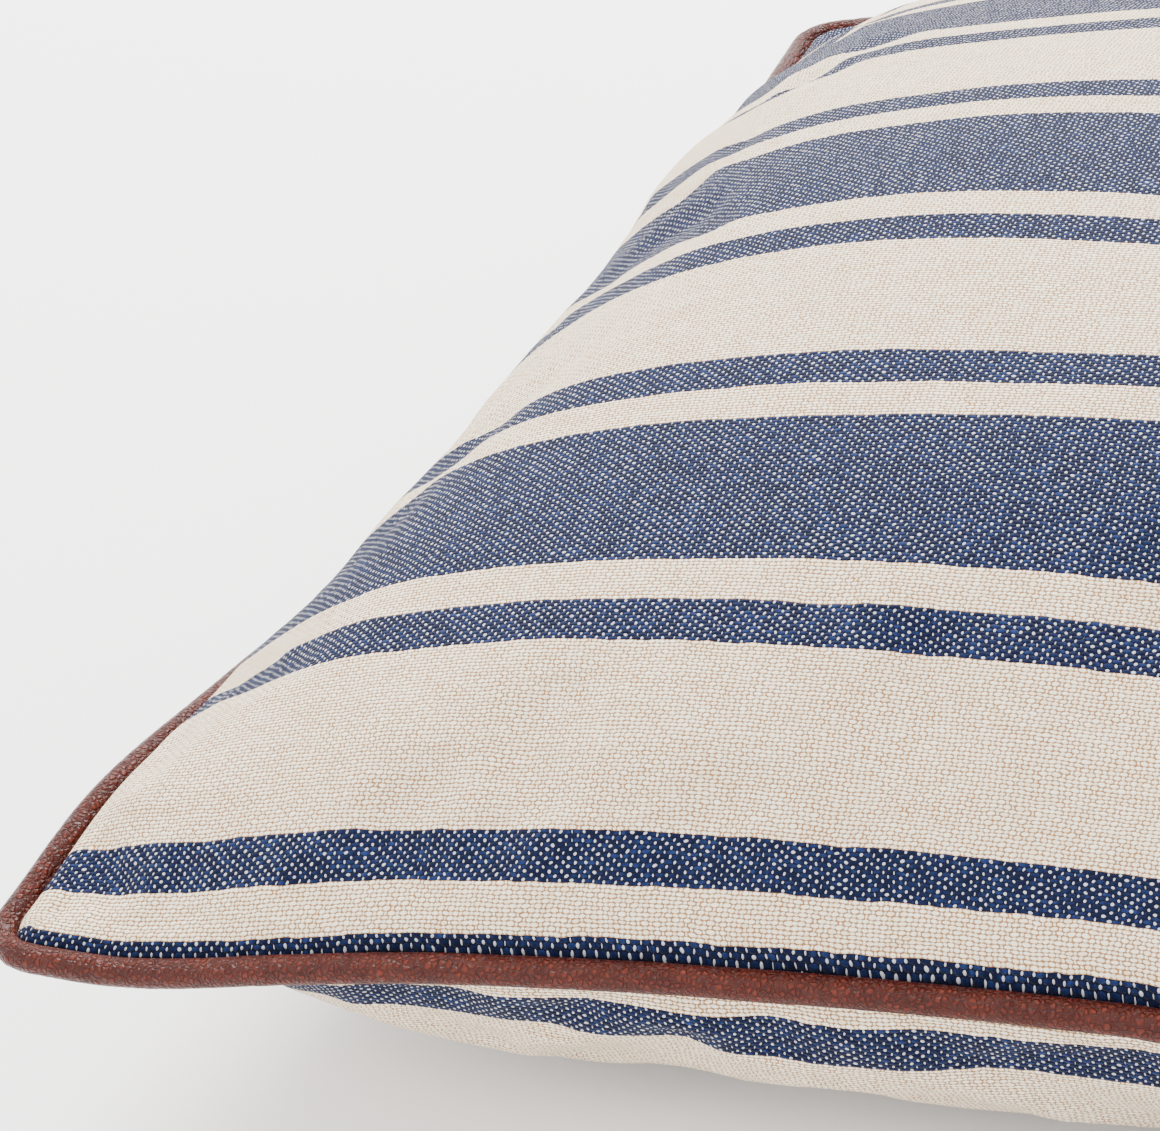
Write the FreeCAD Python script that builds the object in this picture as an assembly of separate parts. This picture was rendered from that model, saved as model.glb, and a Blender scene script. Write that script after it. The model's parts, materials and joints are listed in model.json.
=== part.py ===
import FreeCAD, Part
import math
import os

os.makedirs("parts", exist_ok=True)

V = FreeCAD.Vector

# Square throw pillow with leather piping, lying flat on its back panel.
# +X runs along the stripes, +Z is up, and the zip is in the far (+Y) side.
# Shapes are built about the seam plane at z = 0, then lifted so that the back's flat patch is at z = 0.
# All sizes are in millimetres.

# Seam line, seen from above: rounded corners, and sides that bow inwards between them.
HALF = 247.2            # from the centre to the seam line at a corner's extreme
CORNER_R = 8.0
PULL = 18.0             # how far the middle of a plain side is pulled in
ZIP_PULL_IN = 9.0       # the same for the zip side, which the tapes hold straighter
STRAIGHT_SHARE = 0.66   # straight share of the zip side, out to the corner arc's centre

# Crown of each half, measured from the seam plane.
FRONT_HEIGHT = 84.0
BACK_HEIGHT = 66.0
FRONT_PROFILE = (2.4, 0.80)
BACK_PROFILE = (3.0, 0.75)
FRONT_LEVELS = (1.0, 0.985, 0.96, 0.90, 0.80, 0.60, 0.38, 0.20)
BACK_LEVELS = (1.0, 0.985, 0.96, 0.90, 0.80, 0.60, 0.35)
CORNER_GROWTH = 0.857   # how round the level curves get towards the crown
CORNER_POWER = 3.5
ZIP_BOW = 0.1           # least bow of a level curve on the zip side, as a share of the other sides'

# Cloth, seam and piping.
CLOTH = 0.9
ALLOWANCE = 12.0        # width of the turned-in edges
LEATHER = 0.8
FLANGE = 1.4            # the leather's two plies, pressed flat in the seam
PLY_GAP = 0.05
EXTRA = 1.0             # how far cutting tools reach past what they cut
SPARE = 0.2             # the same where there is little room
CORD_R = 2.45
TUBE_INNER_R = 2.5
TUBE_R = TUBE_INNER_R + LEATHER
TUBE_OUT = 3.6          # piping centre, outside the seam line
THREAD_R = 0.3
STITCH_IN = 4.0         # stitch line, inside the seam line
STITCH_GAP = 2.5        # from the zip's ends to where the seam's stitches start

# Insert: cotton casing round a fibre core.
CASING = 0.4
INSERT_IN = 25.0        # insert's seam, inside the cover's seam line
INSERT_CORNER_R = 20.0
INSERT_DROP = 1.8       # cover to insert, at the crown
CORE_IN = 4.2
CORE_DROP = 0.8
INSERT_THREAD_R = 0.25
INSERT_STITCH_IN = 2.1

# Zip, in a slot of the back panel just under the piping. Its section has two directions:
# w runs down the slope of the wall, and n points out of it.
SLOPE = math.radians(57.0)
ZIP_W = 6.1             # middle of the coils
ZIP_N = -0.7            # plane of the tapes
ZIP_HALF = 150.0
SLOT_TOP = 0.2
SLOT_BOTTOM = 9.3
SLOT_END = 17.0         # tape that shows past the stops, at each end
SLOT_DEEP = 7.0         # half depth of the cut that opens the slot
TAPE = 0.3
TAPE_FOLD = 1.5
TAPE_TURN = 9.4
TAPE_LEAN = 0.21
TAPE_BOTTOM = 17.0
COIL_GAP = 1.0
COIL_WIDE = 1.4
COIL_HIGH = 1.4
STOP_LONG = 2.0
STOP_HIGH = 1.8
STOP_GAP = 0.2

# Zip slider and its pull.
SLIDER_LONG = 8.6
SLIDER_WIDE = 5.6
SLIDER_PLATE = 0.7
CHANNEL = 0.95          # half height of the slider's channel
LIP_WIDE = 0.6
TAPE_SLOT = 0.9
POST_LONG = 1.4
POST_WIDE = 0.4
BAIL_HALF = 2.4
BAIL_WIDE = 0.9
BAIL_BAR = 0.8
WINDOW_HIGH = 1.45
PIN_R = 0.45
PIN_N = 2.4
PULL_WIDE = 5.2
PULL_THICK = 0.8
EYE_WIDE = 3.2
EYE_LONG = 5.0
PULL_LONG = 22.0

# Blank care label inside the cover.
LABEL = 0.3
LABEL_LONG = 30.0
LABEL_X = (60.0, 100.0)
LABEL_Z = 2.2           # its sewn edge, above the seam plane

SEAM_Z = BACK_HEIGHT


def seam_edges(z, inset, half, corner, share, pull, zip_pull):
    """Edges of a level curve at height z, moved inwards by inset."""
    centre = half - corner
    straight = share * centre
    side_r = (centre ** 2 + pull ** 2 - 2 * corner * pull) / (2 * pull)
    reach = centre - straight
    flare_r = (reach ** 2 + zip_pull ** 2 - 2 * corner * zip_pull) / (2 * zip_pull)
    side_mid = half - pull
    zip_mid = half - zip_pull
    r = corner - inset

    def touch(corner_centre, arc_centre):
        return corner_centre + (arc_centre - corner_centre).normalize() * r

    left = V(-side_mid - side_r, 0, z)
    right = V(side_mid + side_r, 0, z)
    near = V(0, -side_mid - side_r, z)
    flare_left = V(-straight, zip_mid + flare_r, z)
    flare_right = V(straight, zip_mid + flare_r, z)
    near_left = V(-centre, -centre, z)
    near_right = V(centre, -centre, z)
    far_right = V(centre, centre, z)
    far_left = V(-centre, centre, z)

    def corner_arc(c, first, last):
        a = touch(c, first)
        b = touch(c, last)
        middle = c + ((a - c) + (b - c)).normalize() * r
        return Part.Arc(a, middle, b).toShape()

    line_left = V(-straight, zip_mid - inset, z)
    line_right = V(straight, zip_mid - inset, z)

    def flare(a, arc_centre, b):
        chord = (a + b) * 0.5
        middle = arc_centre + (chord - arc_centre).normalize() * (flare_r + inset)
        return Part.Arc(a, middle, b).toShape()

    return [
        Part.Arc(touch(near_left, near), V(0, -side_mid + inset, z), touch(near_right, near)).toShape(),
        corner_arc(near_right, near, right),
        Part.Arc(touch(near_right, right), V(side_mid - inset, 0, z), touch(far_right, right)).toShape(),
        corner_arc(far_right, right, flare_right),
        flare(touch(far_right, flare_right), flare_right, line_right),
        Part.makeLine(line_right, line_left),
        flare(line_left, flare_left, touch(far_left, flare_left)),
        corner_arc(far_left, flare_left, left),
        Part.Arc(touch(far_left, left), V(-side_mid + inset, 0, z), touch(near_left, left)).toShape(),
        corner_arc(near_left, left, near),
    ]


def seam_wire(outwards, z=0.0):
    """The cover's seam line, moved outwards, at height z."""
    return Part.Wire(seam_edges(z, -outwards, HALF, CORNER_R, STRAIGHT_SHARE, PULL, ZIP_PULL_IN))


def inner_wire(inwards, z=0.0, corner=CORNER_R):
    """A line inside the seam line, with corners of its own."""
    return Part.Wire(seam_edges(z, 0.0, HALF - inwards, corner, STRAIGHT_SHARE, PULL, ZIP_PULL_IN))


def slab(wire, thickness):
    """Flat plate with a wire's outline, centred on the seam plane."""
    plate = Part.Face(wire).extrude(V(0, 0, thickness))
    plate.translate(V(0, 0, -thickness / 2))
    return plate


def tube_along(path, radius):
    """Closed round tube along a wire of straight and circular edges."""
    pieces = []
    for edge in path.Edges:
        start = edge.valueAt(edge.FirstParameter)
        end = edge.valueAt(edge.LastParameter)
        disc = Part.Face(Part.Wire(Part.makeCircle(radius, start, edge.tangentAt(edge.FirstParameter))))
        if edge.Curve.TypeId == "Part::GeomLine":
            pieces.append(disc.extrude(end - start))
        else:
            turn = math.degrees(edge.LastParameter - edge.FirstParameter)
            pieces.append(disc.revolve(edge.Curve.Center, edge.Curve.Axis, turn))
    return pieces[0].multiFuse(pieces[1:]).removeSplitter()


def crown(inset, base, height, drop, profile, levels, seam_in=0.0, corner=CORNER_R):
    """Level curves of half a pillow, from one at base up to a flat cap; a negative height goes down."""
    power, fullness = profile
    half = HALF - seam_in - inset
    top = abs(height) - drop
    cap = (1 - levels[-1] ** power) ** fullness
    rim_centre = half - corner + inset
    wires = []
    for level in levels:
        roundness = math.sqrt(CORNER_GROWTH ** 2 * (1 - level ** CORNER_POWER) + ((corner - inset) / half) ** 2)
        straighter = half * level * (1 - roundness) / rim_centre
        pull = PULL * level * min(straighter, 1.0) ** 2
        size = (half - PULL) * level + pull
        zip_pull = max(size - (half - ZIP_PULL_IN) * level, ZIP_BOW * pull)
        share = (1 - level ** power) ** fullness / cap
        z = math.copysign(base + (top - base) * share, height)
        wires.append(Part.Wire(seam_edges(z, 0.0, size, size * roundness, STRAIGHT_SHARE, pull, zip_pull)))
    return wires


def crown_faces(wires):
    """Curved faces between the level curves, and the flat cap."""
    return Part.makeLoft(wires, False, True).Faces + [Part.Face(wires[-1])]


def sewn(faces):
    """Solid closed by a list of faces."""
    shell = Part.makeShell(faces)
    shell.sewShape()
    return Part.makeSolid(Part.Shell(shell.Faces))


def crown_solid(wires):
    """Solid half pillow with a flat underside."""
    return sewn(crown_faces(wires) + [Part.Face(wires[0])])


def zip_point(x, w, n):
    """Place in the cover of a place in the zip's own directions."""
    y = HALF - ZIP_PULL_IN - w * math.cos(SLOPE) + (n + ZIP_N) * math.sin(SLOPE)
    z = -w * math.sin(SLOPE) - (n + ZIP_N) * math.cos(SLOPE)
    return V(x, y, z)


def zip_prism(x_low, x_high, outline):
    """Bar along X whose section is an outline of (w, n) points."""
    points = [zip_point(x_low, w, n) for w, n in outline]
    face = Part.Face(Part.makePolygon(points + points[:1]))
    return face.extrude(V(x_high - x_low, 0, 0))


def zip_box(x_low, x_high, w_low, w_high, n_low, n_high):
    return zip_prism(x_low, x_high, [(w_low, n_low), (w_high, n_low), (w_high, n_high), (w_low, n_high)])


def box(x_low, x_high, y_low, y_high, z_low, z_high):
    return Part.makeBox(x_high - x_low, y_high - y_low, z_high - z_low, V(x_low, y_low, z_low))


def export(name, shape):
    """Write one node, lifted so that the pillow rests on z = 0."""
    shape = shape.copy()
    shape.translate(V(0, 0, SEAM_Z))
    if not shape.isValid():
        raise ValueError(name + " is not a valid shape")
    shape.exportStep("parts/" + name + ".step")
    low = shape.BoundBox
    print("%-20s solids %d  volume %10.1f  x %.1f..%.1f  y %.1f..%.1f  z %.1f..%.1f" % (
        name, len(shape.Solids), shape.Volume, low.XMin, low.XMax, low.YMin, low.YMax, low.ZMin, low.ZMax))


# ---- cover -------------------------------------------------------------------------------------

ply = FLANGE / 2 + PLY_GAP
zip_y = HALF - ZIP_PULL_IN
slot_half = ZIP_HALF + SLOT_END
stitch_gap = ZIP_HALF + STITCH_GAP


def panel(height, profile, levels):
    """Cloth dome with its turned-in allowance, open in the middle of the seam plane."""
    outer = crown_solid(crown(0.0, ply, height, 0.0, profile, levels))
    inner = crown_solid(crown(CLOTH, ply + CLOTH, height, CLOTH, profile, levels))
    return outer.cut(inner).cut(slab(inner_wire(ALLOWANCE), 2 * (ply + 2 * CLOTH)))


def front_panel():
    return panel(FRONT_HEIGHT, FRONT_PROFILE, FRONT_LEVELS)


def back_panel():
    """The belly, with the slot that the zip closes."""
    shell = panel(-BACK_HEIGHT, BACK_PROFILE, BACK_LEVELS)
    slot = zip_box(-slot_half, slot_half, SLOT_TOP, SLOT_BOTTOM, -SLOT_DEEP, SLOT_DEEP)
    turned_in = box(-slot_half, slot_half, zip_y - ALLOWANCE - EXTRA, zip_y + EXTRA, -ply - CLOTH - SPARE, 0.0)
    return shell.cut(slot.fuse(turned_in))


def piping_leather():
    """Leather tube round the seam, with its two raw edges pressed into one flat flange."""
    middle = seam_wire(TUBE_OUT)
    flange = slab(middle, FLANGE).cut(slab(inner_wire(ALLOWANCE), 2 * FLANGE))
    return tube_along(middle, TUBE_R).fuse(flange).cut(tube_along(middle, TUBE_INNER_R))


def piping_cord():
    return tube_along(seam_wire(TUBE_OUT), CORD_R)


def seam_thread(side):
    """Stitch line lying on one panel's allowance; side is 1 for the front and -1 for the back."""
    z = side * (ply + CLOTH + THREAD_R + PLY_GAP)
    ring = tube_along(inner_wire(STITCH_IN, z), THREAD_R)
    if side > 0:
        return ring
    gap = box(-stitch_gap, stitch_gap, zip_y - ALLOWANCE, zip_y, -ALLOWANCE, 0.0)
    return ring.cut(gap)


# ---- zip ---------------------------------------------------------------------------------------

tape_half = slot_half - STOP_GAP
coil_in = COIL_GAP / 2
coil_out = coil_in + COIL_WIDE
coil_end = ZIP_HALF - STOP_LONG - STOP_GAP


def zip_tape_front():
    """Tape sewn flat under the piping flange, then folded down the wall to its coil."""
    flat = box(-tape_half, tape_half, zip_y - ALLOWANCE, zip_point(0, TAPE_FOLD, 0).y,
               -ply - PLY_GAP - TAPE, -ply - PLY_GAP)
    down = zip_box(-tape_half, tape_half, TAPE_FOLD, ZIP_W - coil_out, -TAPE / 2, TAPE / 2)
    return flat.fuse(down).removeSplitter()


def zip_tape_back():
    """Tape that runs from its coil down behind the back panel's folded edge."""
    drop = (TAPE_BOTTOM - TAPE_TURN) * TAPE_LEAN
    start = ZIP_W + coil_out
    return zip_prism(-tape_half, tape_half, [
        (start, -TAPE / 2), (TAPE_TURN, -TAPE / 2), (TAPE_BOTTOM, -TAPE / 2 - drop),
        (TAPE_BOTTOM, TAPE / 2 - drop), (TAPE_TURN, TAPE / 2), (start, TAPE / 2)])


def zip_coil(side):
    """Row of coil along one tape; side is -1 above the zip's middle and 1 below it."""
    inner = ZIP_W + side * coil_in
    outer = ZIP_W + side * coil_out
    return zip_box(-coil_end, coil_end, min(inner, outer), max(inner, outer), -COIL_HIGH / 2, COIL_HIGH / 2)


def zip_top_stops():
    """Pair of crimped stops at the closed end, one on each tape."""
    start = coil_end + STOP_GAP
    stops = []
    for side in (-1, 1):
        inner = ZIP_W + side * coil_in
        outer = ZIP_W + side * coil_out
        stops.append(zip_box(start, start + STOP_LONG, min(inner, outer), max(inner, outer),
                             -STOP_HIGH / 2, STOP_HIGH / 2))
    return Part.makeCompound(stops)


def zip_bottom_stop():
    """One stop across both tapes at the other end."""
    start = -coil_end - STOP_GAP
    return zip_box(start - STOP_LONG, start, ZIP_W - coil_out, ZIP_W + coil_out, -STOP_HIGH / 2, STOP_HIGH / 2)


slider_x = coil_end - SLIDER_LONG / 2 - STOP_GAP


def zip_slider():
    """Two plates joined by a post, with lips round the coils and a bridge for the pull."""
    x_low = slider_x - SLIDER_LONG / 2
    x_high = slider_x + SLIDER_LONG / 2
    w_low = ZIP_W - SLIDER_WIDE / 2
    w_high = ZIP_W + SLIDER_WIDE / 2
    plate_top = CHANNEL + SLIDER_PLATE
    solids = [
        zip_box(x_low, x_high, w_low, w_high, CHANNEL, plate_top),
        zip_box(x_low, x_high, w_low, w_high, -plate_top, -CHANNEL),
        zip_box(x_high - POST_LONG, x_high, ZIP_W - POST_WIDE / 2, ZIP_W + POST_WIDE / 2,
                -plate_top, plate_top),
    ]
    for edge, inward in ((w_low, 1), (w_high, -1)):
        low = min(edge, edge + inward * LIP_WIDE)
        high = max(edge, edge + inward * LIP_WIDE)
        solids.append(zip_box(x_low, x_high, low, high, TAPE_SLOT / 2, plate_top))
        solids.append(zip_box(x_low, x_high, low, high, -plate_top, -TAPE_SLOT / 2))
    window_top = plate_top + WINDOW_HIGH
    bail = zip_box(slider_x - BAIL_HALF, slider_x + BAIL_HALF, ZIP_W - BAIL_WIDE / 2, ZIP_W + BAIL_WIDE / 2,
                   plate_top - SPARE, window_top + BAIL_BAR)
    window = zip_box(slider_x - BAIL_HALF + BAIL_BAR, slider_x + BAIL_HALF - BAIL_BAR, ZIP_W - BAIL_WIDE,
                     ZIP_W + BAIL_WIDE, plate_top, window_top)
    solids.append(bail.cut(window))
    return solids[0].multiFuse(solids[1:]).removeSplitter()


def zip_pull():
    """Flat tab with an eye. The eye's end bar is a round pin that turns under the slider's bridge."""
    w_low = ZIP_W - PULL_WIDE / 2
    w_high = ZIP_W + PULL_WIDE / 2
    tab = zip_box(slider_x - PULL_LONG, slider_x, w_low, w_high, PIN_N - PULL_THICK / 2, PIN_N + PULL_THICK / 2)
    across = zip_point(0, 1, 0) - zip_point(0, 0, 0)
    pin = Part.makeCylinder(PIN_R, PULL_WIDE, zip_point(slider_x, w_low, PIN_N), across)
    eye = zip_box(slider_x - EYE_LONG, slider_x + PIN_R + EXTRA, ZIP_W - EYE_WIDE / 2, ZIP_W + EYE_WIDE / 2,
                  PIN_N - EXTRA, PIN_N + EXTRA)
    return tab.cut(eye).fuse(pin).removeSplitter()


# ---- insert and label --------------------------------------------------------------------------


def insert_crown(inset, drop, side):
    """Half of the insert's shape; side is 1 for the upper half and -1 for the lower one."""
    if side > 0:
        return crown(inset, 0.0, FRONT_HEIGHT, INSERT_DROP + drop, FRONT_PROFILE, FRONT_LEVELS,
                     INSERT_IN, INSERT_CORNER_R)
    return crown(inset, 0.0, -BACK_HEIGHT, INSERT_DROP + drop, BACK_PROFILE, BACK_LEVELS,
                 INSERT_IN, INSERT_CORNER_R)


def insert_casing(side):
    return crown_solid(insert_crown(0.0, 0.0, side)).cut(crown_solid(insert_crown(CASING, CASING, side)))


def insert_seam_thread():
    """Thread that closes the casing, just inside its seam."""
    line = inner_wire(INSERT_IN + INSERT_STITCH_IN, 0.0, INSERT_CORNER_R - INSERT_STITCH_IN)
    return tube_along(line, INSERT_THREAD_R)


def fill_core():
    upper = insert_crown(CORE_IN, CORE_DROP, 1)
    lower = insert_crown(CORE_IN, CORE_DROP, -1)
    return sewn(crown_faces(upper) + crown_faces(lower))


def care_label():
    """Blank strip that leans inwards from the zip side's seam, between the front panel and the insert."""
    reach = LABEL_LONG * math.sqrt(0.5)
    y = zip_y - ALLOWANCE - PLY_GAP
    points = [V(LABEL_X[0], y, LABEL_Z), V(LABEL_X[0], y - reach, LABEL_Z + reach),
              V(LABEL_X[0], y - reach, LABEL_Z + reach + LABEL), V(LABEL_X[0], y, LABEL_Z + LABEL)]
    face = Part.Face(Part.makePolygon(points + points[:1]))
    return face.extrude(V(LABEL_X[1] - LABEL_X[0], 0, 0))


# ---- nodes -------------------------------------------------------------------------------------

export("front_panel", front_panel())
export("back_panel", back_panel())
export("piping_leather", piping_leather())
export("piping_cord", piping_cord())
export("seam_thread_front", seam_thread(1))
export("seam_thread_back", seam_thread(-1))
export("zip_tape_front", zip_tape_front())
export("zip_tape_back", zip_tape_back())
export("zip_coil_front", zip_coil(-1))
export("zip_coil_back", zip_coil(1))
export("zip_top_stops", zip_top_stops())
export("zip_bottom_stop", zip_bottom_stop())
export("zip_slider", zip_slider())
export("zip_pull", zip_pull())
export("insert_casing_front", insert_casing(1))
export("insert_casing_back", insert_casing(-1))
export("insert_seam_thread", insert_seam_thread())
export("fill_core", fill_core())
export("care_label", care_label())

pin = zip_point(slider_x, ZIP_W, PIN_N)
print("pull hinge at", round(pin.x, 3), round(pin.y, 3), round(pin.z + SEAM_Z, 3))
print("across the tapes", round(-math.cos(SLOPE), 5), round(-math.sin(SLOPE), 5))
print("slider travel", round(2 * slider_x, 3))
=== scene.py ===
import json
import math

import bpy
import numpy as np
from mathutils import Matrix, Vector, noise


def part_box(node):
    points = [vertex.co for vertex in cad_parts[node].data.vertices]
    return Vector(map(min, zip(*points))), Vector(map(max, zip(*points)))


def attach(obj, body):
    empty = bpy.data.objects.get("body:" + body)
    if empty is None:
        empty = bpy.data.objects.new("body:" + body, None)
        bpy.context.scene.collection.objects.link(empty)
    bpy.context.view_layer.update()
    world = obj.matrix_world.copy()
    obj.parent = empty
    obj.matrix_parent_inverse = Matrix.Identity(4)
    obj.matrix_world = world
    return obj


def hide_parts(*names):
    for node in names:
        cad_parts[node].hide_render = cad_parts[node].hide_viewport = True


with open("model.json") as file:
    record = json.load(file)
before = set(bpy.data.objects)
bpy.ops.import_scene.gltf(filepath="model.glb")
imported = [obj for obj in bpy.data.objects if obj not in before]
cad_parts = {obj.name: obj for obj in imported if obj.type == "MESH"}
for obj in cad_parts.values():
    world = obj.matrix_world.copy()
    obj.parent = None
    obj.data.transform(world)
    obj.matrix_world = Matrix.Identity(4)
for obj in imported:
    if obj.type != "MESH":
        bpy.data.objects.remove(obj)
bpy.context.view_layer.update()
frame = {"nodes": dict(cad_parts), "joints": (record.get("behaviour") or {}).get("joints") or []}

MM = 0.001

# ---- driving sizes, in metres ------------------------------------------------------------------

SIDE = 508.0 * MM               # flat width of a panel between its seams
HALF = 247.2 * MM               # from the centre to the seam line at a corner's extreme
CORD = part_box("piping_cord")
SEAM_Z = (CORD[0].z + CORD[1].z) / 2
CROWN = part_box("front_panel")[1].z - SEAM_Z
BELLY = SEAM_Z
PULL_IN = 28.0 * MM             # bow of the plain sides
PULL_POWER = 1.3
ZIP_PULL_IN = 9.0 * MM          # bow of the zip side
CORNER_R = 8.0 * MM
FRONT_POWER = (3.008, 1.9)      # how flat the crown is, across and along
FRONT_FULLNESS = (0.829, 0.737) # how steeply it leaves the seam
BACK_POWER = (5.457, 5.457)
BACK_FULLNESS = (1.0, 1.0)
PLY = 0.75 * MM                 # seam plane to cloth
ALLOWANCE = 12.0 * MM           # turned-in edge, trimmed at the corners
RIDGE = 1.7 * MM                # lift of the cloth where it lies over its turned-in edge
RIDGE_REACH = 1.5 * MM

# How far the filled cover stands above its plain crown, in mm, seam included. Rows run from the
# middle out to a side, and columns from the near edge to the far edge.
SAG = (
    (-0.6, -0.9, 0.4, 0.5, -0.8, -1.6, -1.5, -1.1, -1.0, -1.3, -1.4, -1.1, 0.0),
    (-0.7, -0.4, 0.5, 0.6, -0.2, -0.8, -1.0, -1.1, -1.4, -1.7, -1.8, -1.3, 0.0),
    (-0.9, 0.6, 0.9, 1.0, 1.0, 0.7, -0.2, -1.2, -2.1, -2.5, -2.4, -1.6, 0.0),
    (-1.3, 1.5, 1.3, 1.3, 1.9, 1.6, 0.3, -1.4, -2.6, -3.0, -2.7, -1.7, 0.0),
    (-2.1, 1.6, 1.8, 1.5, 1.5, 1.0, -0.3, -1.6, -2.4, -2.6, -2.2, -1.3, 0.0),
    (-3.7, 0.9, 2.0, 1.4, 0.3, -0.5, -0.9, -1.0, -1.0, -1.0, -0.9, -0.6, 0.0),
    (-6.9, -0.3, 1.5, 0.6, -1.0, -1.3, 0.0, 1.6, 2.1, 1.6, 0.6, -0.2, -0.3),
    (-9.8, -0.7, 1.2, -0.1, -1.5, -1.0, 1.4, 3.8, 4.3, 2.9, 0.4, -2.2, -3.6),
    (-6.9, 3.0, 3.0, 1.0, -0.0, -0.6, -0.9, -1.3, -1.7, -2.6, -4.2, -6.2, -8.2),
)

PIPE_R = 3.3 * MM
PIPE_OUT = 3.6 * MM
FLANGE_HALF = 0.7 * MM
CORD_R = 2.45 * MM
THREAD_R = 0.3 * MM
STITCH_IN = 4.0 * MM
STITCH_UP = 1.2 * MM            # thread's height over or under the seam plane
INSERT_THREAD_R = 0.25 * MM
INSERT_STITCH_IN = 1.8 * MM

WARP_YARNS = 570.0              # from the near seam to the far one, an estimate
CROSS_YARNS = 391.0             # from side to side
REPEAT = 144.0                  # warp yarns before the stripes repeat
BLUE_BANDS = ((12, 24), (72, 84), (96, 144))
FRONT_PHASE = -3.0              # the last yarns of a wide band are left at the near seam
BACK_PHASE = 3.0

flip = next(j for j in frame["joints"] if j["name"] == "pull_flip")
ZIP_DOWN = Vector(flip["axis"]).normalized()
ZIP_OUT = Vector((0.0, -ZIP_DOWN.z, ZIP_DOWN.y))
TAPE_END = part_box("zip_tape_front")[1].x
SLOT_HALF = TAPE_END + 0.3 * MM
SLOT_DEEP = 9.3 * MM            # how far the zip's slot runs down from the far seam
STITCH_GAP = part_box("zip_top_stops")[1].x + 2.5 * MM
GRID = 181
PIPE_STEPS = 2600
PIPE_SIDES = 32

# The insert and its filling, as shares of the cover's size in plan and in height.
CASING_OUTER = (0.885, 0.965)
CASING_INNER = (0.883, 0.961)
FILLING = (0.872, 0.95)

SETTLE_GRID = 71
SETTLE_FRAMES = 20
SETTLE_HELD_DEPTH = 0.9         # cloth below this share of the underside's depth stays put
SETTLE_ZIP_HELD = 45.0 * MM     # and so does the cloth this near the zip side
CREASE_CAP = 2.5 * MM
CREASE_ROUNDS = 60              # blurring that tells creases from the overall swelling
CREASE_FADE = 0.06              # share of the way from seam to middle where creases fade in
CLOTH_SETTINGS = {
    "quality": 6,
    "mass": 0.25,
    "tension_stiffness": 20,
    "compression_stiffness": 20,
    "shear_stiffness": 8,
    "bending_stiffness": 0.3,
    "vertex_group_mass": "held",
    "shrink_min": -0.02,
    "use_pressure": True,
    "uniform_pressure_force": 4.0,
}

COIL_PITCH = 1.3 * MM
COIL_WIRE = 0.28 * MM
COIL_REACH = 0.68 * MM          # half width of a loop, short of the slider's post
COIL_DEEP = 0.5 * MM
COIL_TURN_STEPS = 12
COIL_SIDES = 6


# ---- small helpers -----------------------------------------------------------------------------


def mesh_object(name, points, faces, uvs=None):
    """Smooth-shaded mesh; uvs holds one (u, v) for each point."""
    mesh = bpy.data.meshes.new(name)
    mesh.from_pydata(np.asarray(points).tolist(), [], faces)
    mesh.polygons.foreach_set("use_smooth", [True] * len(mesh.polygons))
    if uvs is not None:
        layer = mesh.uv_layers.new(name="cloth")
        index = np.zeros(len(mesh.loops), np.int32)
        mesh.loops.foreach_get("vertex_index", index)
        layer.data.foreach_set("uv", np.asarray(uvs, np.float32)[index].ravel())
    mesh.update()
    obj = bpy.data.objects.new(name, mesh)
    bpy.context.scene.collection.objects.link(obj)
    return obj


def smoothstep(low, high, x):
    t = np.clip((x - low) / (high - low), 0.0, 1.0)
    return t * t * (3 - 2 * t)


def blend_weights(place, count):
    """Smooth interpolation over evenly spaced samples: one row of weights for each place."""
    low = np.clip(np.floor(place).astype(int), 0, count - 2)
    t = place - low
    weights = ((-t + 2 * t ** 2 - t ** 3) / 2, (2 - 5 * t ** 2 + 3 * t ** 3) / 2,
               (t + 4 * t ** 2 - 3 * t ** 3) / 2, (-t ** 2 + t ** 3) / 2)
    rows = np.zeros((len(place), count))
    for k, weight in enumerate(weights):
        np.add.at(rows, (np.arange(len(place)), np.clip(low + k - 1, 0, count - 1)), weight)
    return rows


# ---- pillow shape ------------------------------------------------------------------------------


def rise(t, power, fullness):
    return np.maximum(1 - np.abs(t) ** power, 0.0) ** fullness


def run_along(t, power, fullness, amplitudes):
    """Share of the way from the middle to the seam, for cloth that doesn't stretch over a crown."""
    flat = (SIDE / 2 * np.diff(t))[None, :]
    climb = amplitudes[:, None] * np.diff(rise(t, power, fullness))[None, :]
    run = np.sqrt(np.maximum(flat ** 2 - climb ** 2, (0.12 * flat) ** 2))
    total = np.hstack([np.zeros((len(amplitudes), 1)), np.cumsum(run, 1)])
    total -= total[:, -1:] / 2
    return total / total[:, -1:]


def sag(u, v):
    """Height that SAG adds at each place of a grid."""
    table = np.array(SAG) * MM
    across = blend_weights(np.abs(u) * (table.shape[0] - 1), table.shape[0])
    along = blend_weights((v + 1) / 2 * (table.shape[1] - 1), table.shape[1])
    return across @ table @ along.T


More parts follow.
